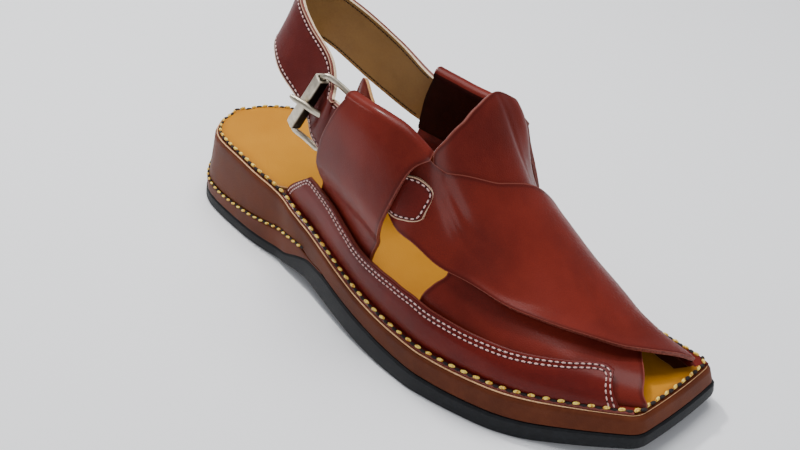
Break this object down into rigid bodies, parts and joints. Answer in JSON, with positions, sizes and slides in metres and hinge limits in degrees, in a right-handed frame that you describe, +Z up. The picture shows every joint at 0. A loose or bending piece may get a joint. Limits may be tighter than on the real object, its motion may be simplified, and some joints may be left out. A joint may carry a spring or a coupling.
{
  "type": "peshawari chappal",
  "caption": "Right-foot leather sandal: two wide crossing panels, square open toe, buckled heel strap, wedge sole with a black rubber outsole.",
  "frame": {"origin": "middle of the bounding box at the floor", "axes": "+X from heel to toe, +Y to the foot's inner side (the shoe's left), +Z up; the shoe stands flat on its heel and forefoot"},
  "size_m": [0.2986, 0.107, 0.131],
  "materials": {
    "rubber": "matte black moulded rubber",
    "rand": "brown waxed leather",
    "wall": "brown waxed leather wrapped on the wedge",
    "insole": "smooth tan leather",
    "upper": "polished cherry red leather",
    "strap": "polished red leather lined with tan",
    "metal": "worn nickel-plated steel"
  },
  "bodies": {
    "root": {"outsole": "rubber", "heel_rand": "rand", "midsole": "wall", "insole": "insole", "upper": "upper", "edge_band_outer": "upper", "edge_band_inner": "upper", "heel_strap": "strap", "buckle_chape": "strap", "buckle_frame": "metal", "buckle_roller": "metal", "buckle_prong": "metal"}
  },
  "joints": []
}
